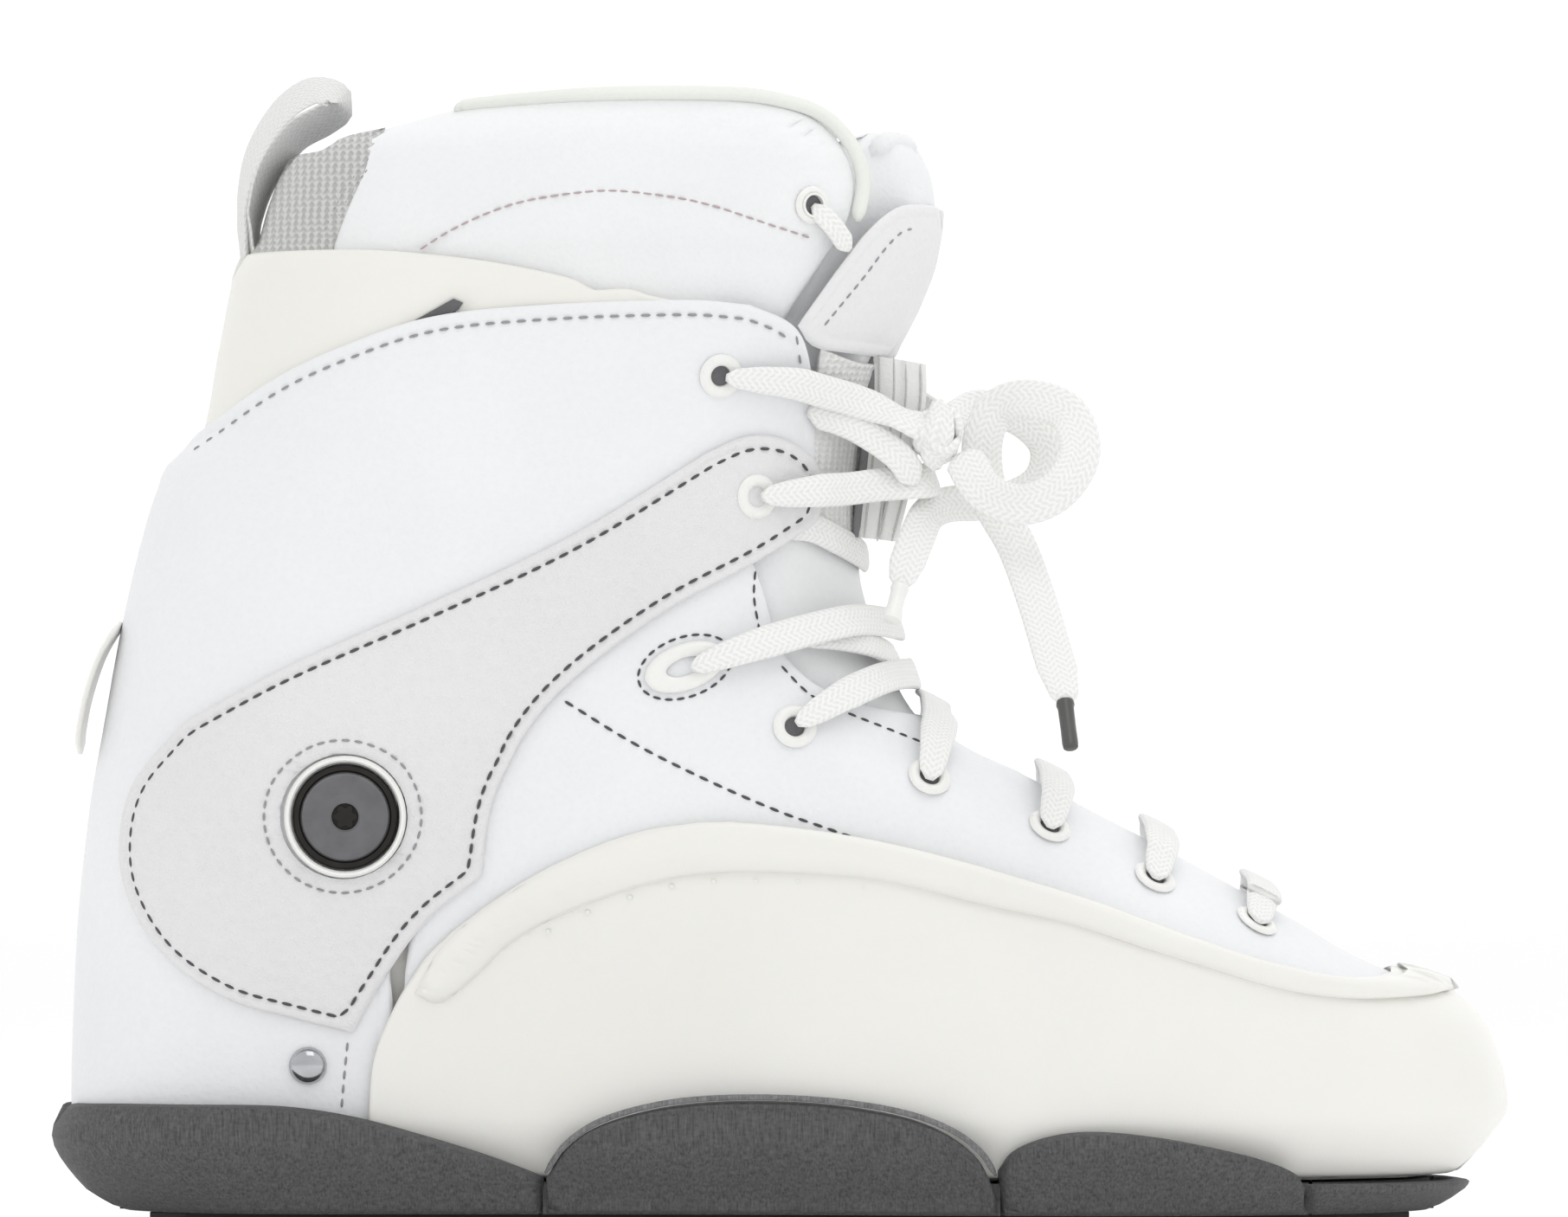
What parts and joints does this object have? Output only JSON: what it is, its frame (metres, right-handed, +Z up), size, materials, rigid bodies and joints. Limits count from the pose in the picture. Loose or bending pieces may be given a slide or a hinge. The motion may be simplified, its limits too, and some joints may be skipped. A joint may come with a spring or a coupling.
{
  "type": "inline skate boot",
  "caption": "Right aggressive inline skate boot without frame: hard shell, leather skins, laced vamp, hinged cuff with ankle strap, soul plates.",
  "frame": {"origin": "on the ground under the middle of the boot (laces left out)", "axes": "+X toe, +Z up, -Y lateral side of the right foot"},
  "size_m": [0.3146, 0.122, 0.2476],
  "materials": {
    "leather": "white coated leather, fine creases",
    "strap_leather": "pebbled leather, faint lilac grey",
    "plastic": "moulded polyurethane, satin, warm white",
    "enamel": "white enamelled eyelets",
    "liner_foam": "brushed liner cloth",
    "knit": "ribbed knit and woven binding",
    "strap_mesh": "woven hook-and-loop strap",
    "sole": "charcoal slide plastic with fine brushed grain",
    "steel": "polished steel",
    "bolt": "dark turned metal",
    "lace": "flat braided cotton lace",
    "aglet": "clear-grey plastic film"
  },
  "bodies": {
    "boot": {"lower_shell": "plastic", "heel_skin": "leather", "side_shell": "plastic", "vamp": "leather", "eyelet_1_lateral": "enamel", "eyelet_1_medial": "enamel", "eyelet_2_lateral": "enamel", "eyelet_2_medial": "enamel", "eyelet_3_lateral": "enamel", "eyelet_3_medial": "enamel", "eyelet_4_lateral": "enamel", "eyelet_4_medial": "enamel", "eyelet_5_lateral": "enamel", "eyelet_5_medial": "enamel", "lace_loop_oval": "enamel", "liner_foot": "liner_foam", "footbed": "liner_foam", "heel_pad": "liner_foam", "tongue": "knit", "soul_heel": "sole", "soul_arch": "sole", "soul_front": "sole", "toe_plate": "sole", "frame_block": "sole", "frame_insert_rear": "steel", "frame_insert_front": "steel", "rivet_lateral": "steel", "rivet_medial": "steel", "lace_bar_1": "lace", "lace_bar_2": "lace", "lace_bar_3": "lace", "lace_bar_4": "lace", "lace_crossing_1": "lace", "lace_crossing_2": "lace"},
    "cuff": {"cuff_shell": "plastic", "cuff_skin": "leather", "strap_lateral": "strap_leather", "strap_medial": "strap_leather", "pivot_ring_lateral": "plastic", "pivot_ring_medial": "plastic", "pivot_bolt_lateral": "bolt", "pivot_bolt_medial": "bolt", "liner_cuff": "leather", "eyelet_cuff_1_lateral": "enamel", "eyelet_cuff_1_medial": "enamel", "eyelet_cuff_2_lateral": "enamel", "eyelet_cuff_2_medial": "enamel", "tongue_leaf": "knit", "pull_loop": "knit", "ankle_strap": "strap_mesh", "ankle_strap_end": "strap_mesh", "rear_clip": "plastic", "lace_crossing_3": "lace", "lace_crossing_4": "lace", "lace_knot": "lace", "lace_end_lateral": "lace", "lace_end_medial": "lace", "aglet_lateral": "aglet", "aglet_medial": "aglet"}
  },
  "joints": [
    {"name": "cuff_lean", "type": "hinge", "parent": "boot", "child": "cuff", "pos_m": [-0.093, 0, 0.09], "axis": [0, 1, 0], "range_deg": [-4, 9], "deforming": ["tongue", "strap_lateral", "strap_medial", "lace_crossing_2"]}
  ]
}
